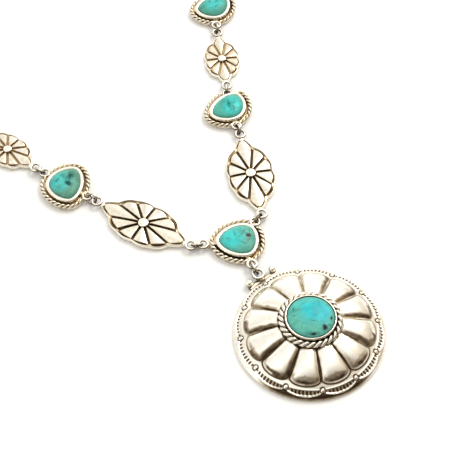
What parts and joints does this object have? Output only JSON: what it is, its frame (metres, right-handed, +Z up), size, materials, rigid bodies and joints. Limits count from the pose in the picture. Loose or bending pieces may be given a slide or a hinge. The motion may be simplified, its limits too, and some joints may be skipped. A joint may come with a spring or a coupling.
{
  "type": "statement necklace",
  "caption": "Statement necklace lying flat: round petalled concho pendant with a domed stone, petalled conchos and stone stations on two strands, oval-link chain and S-hook clasp",
  "frame": {"origin": "the back of the centre station's plate, on the surface that the necklace lies on", "axes": "+Y runs from the pendant to the clasp at the back of the neck, +Z is up from the surface, +X is to the right seen from above with the pendant nearest"},
  "size_m": [0.1326, 0.2697, 0.012],
  "materials": {
    "silver": "sterling silver, satin on the petals and polished on the rims, with brown-black oxidised grooves",
    "silver_wire": "polished sterling silver wire",
    "turquoise": "polished turquoise with brown and dark green matrix"
  },
  "bodies": {
    "root": {"pendant_body": "silver", "pendant_stone": "turquoise", "pendant_ring": "silver_wire", "centre_setting": "silver", "centre_stone": "turquoise", "left_large_concho": "silver", "right_large_concho": "silver", "left_near_setting": "silver", "left_near_stone": "turquoise", "right_near_setting": "silver", "right_near_stone": "turquoise", "left_small_concho": "silver", "right_small_concho": "silver", "left_far_setting": "silver", "left_far_stone": "turquoise", "right_far_setting": "silver", "right_far_stone": "turquoise", "left_ring_1": "silver_wire", "left_ring_2": "silver_wire", "left_ring_3": "silver_wire", "left_ring_4": "silver_wire", "left_end_ring": "silver_wire", "right_ring_1": "silver_wire", "right_ring_2": "silver_wire", "right_ring_3": "silver_wire", "right_ring_4": "silver_wire", "right_end_ring": "silver_wire", "chain_left": "silver_wire", "chain_right": "silver_wire", "clasp_hook": "silver_wire"}
  },
  "joints": []
}
